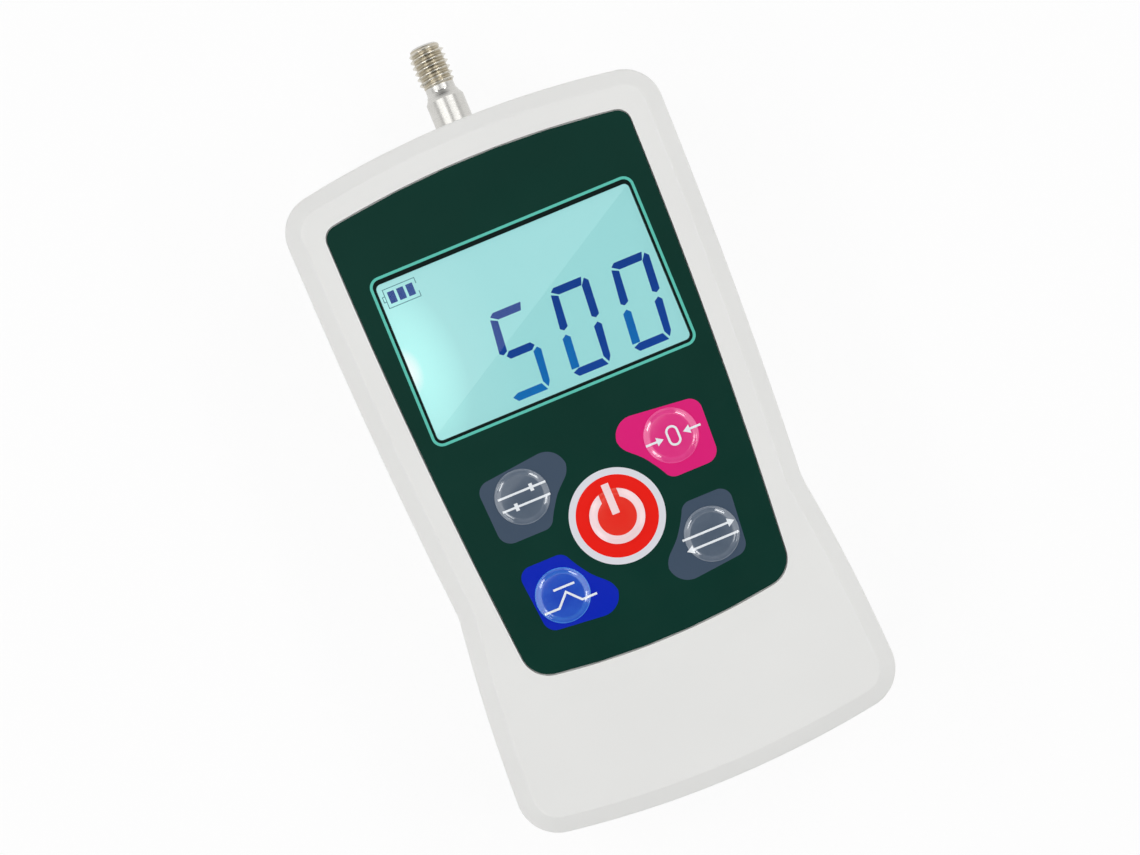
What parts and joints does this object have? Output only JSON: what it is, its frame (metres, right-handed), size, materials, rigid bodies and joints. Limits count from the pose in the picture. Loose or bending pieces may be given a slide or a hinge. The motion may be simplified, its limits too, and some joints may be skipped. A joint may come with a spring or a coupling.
{
  "type": "digital force gauge",
  "caption": "Handheld digital force gauge with a waisted body, backlit display, membrane keys and a threaded measuring spindle.",
  "frame": {"origin": "middle of the flat rear face, on the plane that the gauge lies on", "axes": "X across the face, to the right as read; +Y along the body towards the measuring spindle; +Z out of the front face"},
  "size_m": [0.0646, 0.1281, 0.0325],
  "materials": {
    "shell_plastic": "light grey moulded ABS with a fine spark texture",
    "green_film": "dark green back-printed polycarbonate film",
    "clear_pane": "clear acrylic",
    "black_plastic": "black moulded plastic",
    "display_glass": "liquid-crystal glass, pale cyan when lit",
    "white_guide": "white acrylic light guide",
    "contact_rubber": "layered conductive rubber",
    "circuit_board": "green solder mask on glass-fibre laminate",
    "header_plastic": "natural nylon",
    "screw_steel": "zinc-plated steel",
    "cell_aluminium": "milled aluminium",
    "gauge_foil": "polyimide-backed foil",
    "chassis_steel": "zinc-plated sheet steel",
    "bush_steel": "turned steel",
    "cell_steel": "nickel-plated can",
    "sleeve_plastic": "blue shrink sleeve",
    "foam": "black foam tape",
    "socket_steel": "drawn steel shell",
    "wire_insulation": "flexible insulation",
    "spindle_steel": "turned stainless steel",
    "grey_key": "embossed film, slate grey print",
    "pink_key": "embossed film, magenta pink print",
    "blue_key": "embossed film, royal blue print",
    "red_key": "embossed film, bright red print",
    "stem_plastic": "black acetal"
  },
  "bodies": {
    "housing": {"front_shell": "shell_plastic", "rear_shell": "shell_plastic", "shell_screws": "screw_steel", "keypad_film": "green_film", "display_pane": "clear_pane", "display_frame": "black_plastic", "display_glass": "display_glass", "light_guide": "white_guide", "contact_strip": "contact_rubber", "main_board": "circuit_board", "board_chips": "black_plastic", "wire_headers": "header_plastic", "board_screws": "screw_steel", "switch_housings": "black_plastic", "load_cell": "cell_aluminium", "strain_gauges": "gauge_foil", "chassis_plate": "chassis_steel", "cell_bolt": "screw_steel", "chassis_screws": "screw_steel", "mount_bushes": "bush_steel", "battery_cells": "cell_steel", "battery_sleeve": "sleeve_plastic", "battery_pad": "foam", "charge_board": "circuit_board", "charge_socket": "socket_steel", "battery_lead": "wire_insulation", "charge_lead": "wire_insulation", "load_cell_lead": "wire_insulation"},
    "spindle": {"spindle": "spindle_steel", "spindle_nut": "spindle_steel"},
    "set_button": {"set_key": "grey_key", "set_switch_stem": "stem_plastic"},
    "zero_button": {"zero_key": "pink_key", "zero_switch_stem": "stem_plastic"},
    "peak_button": {"peak_key": "blue_key", "peak_switch_stem": "stem_plastic"},
    "unit_button": {"unit_key": "grey_key", "unit_switch_stem": "stem_plastic"},
    "power_button": {"power_key": "red_key", "power_switch_stem": "stem_plastic"}
  },
  "joints": [
    {"name": "spindle_deflection", "type": "slide", "parent": "housing", "child": "spindle", "axis": [0, 1, 0], "range_m": [-0.0003, 0.0003], "stiffness_N_per_m": 20000, "deforming": ["load_cell"]},
    {"name": "set_press", "type": "slide", "parent": "housing", "child": "set_button", "axis": [0, 0, -1], "range_m": [0, 0.0004], "stiffness_N_per_m": 800, "springref_m": -0.0016},
    {"name": "zero_press", "type": "slide", "parent": "housing", "child": "zero_button", "axis": [0, 0, -1], "range_m": [0, 0.0004], "stiffness_N_per_m": 800, "springref_m": -0.0016},
    {"name": "peak_press", "type": "slide", "parent": "housing", "child": "peak_button", "axis": [0, 0, -1], "range_m": [0, 0.0004], "stiffness_N_per_m": 800, "springref_m": -0.0016},
    {"name": "unit_press", "type": "slide", "parent": "housing", "child": "unit_button", "axis": [0, 0, -1], "range_m": [0, 0.0004], "stiffness_N_per_m": 800, "springref_m": -0.0016},
    {"name": "power_press", "type": "slide", "parent": "housing", "child": "power_button", "axis": [0, 0, -1], "range_m": [0, 0.0004], "stiffness_N_per_m": 800, "springref_m": -0.0016}
  ]
}
